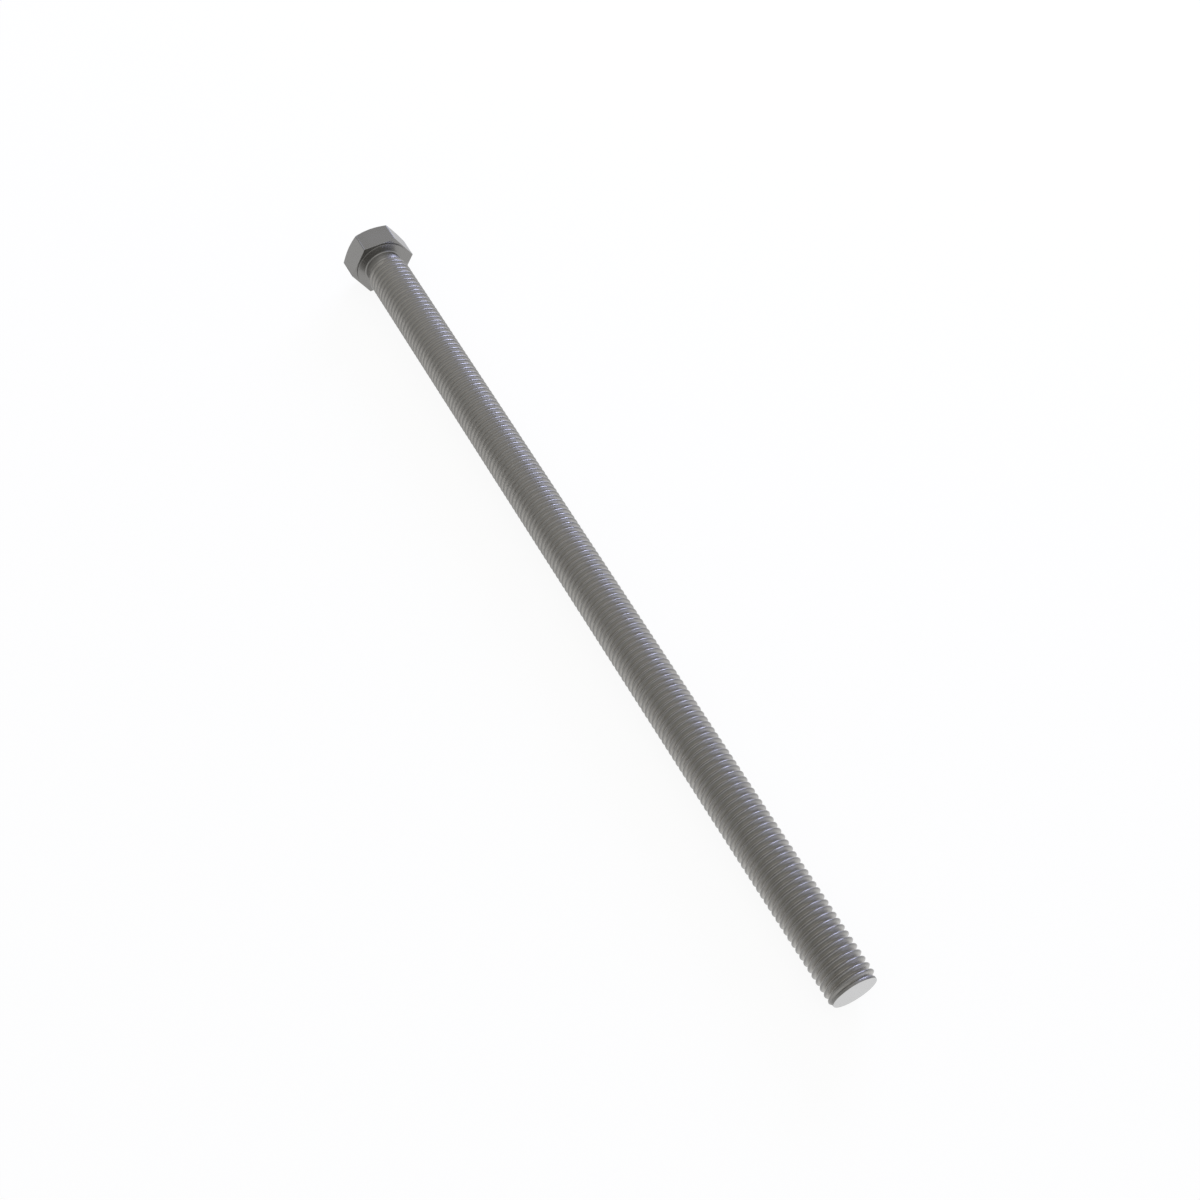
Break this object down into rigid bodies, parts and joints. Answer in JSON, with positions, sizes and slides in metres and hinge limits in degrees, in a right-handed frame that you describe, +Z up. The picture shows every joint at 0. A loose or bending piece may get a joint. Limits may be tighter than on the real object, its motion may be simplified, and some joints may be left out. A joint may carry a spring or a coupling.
{
  "type": "hex cap screw",
  "caption": "Long steel hex cap screw, threaded from a short neck under its washer-faced, chamfered hexagon head to its flat point.",
  "frame": {"origin": "centre of the bearing face under the head, on the screw's axis", "axes": "+X along the shank from the head to the tip, dipping 0.48 degrees as the screw lies; +Z up from the surface it lies on; one flat of the head faces down"},
  "size_m": [0.3928, 0.0294, 0.0255],
  "materials": {
    "steel": "plain satin steel, fine grained, with light wear along the edges and thread crests"
  },
  "bodies": {
    "root": {"hex_cap_screw": "steel"}
  },
  "joints": []
}
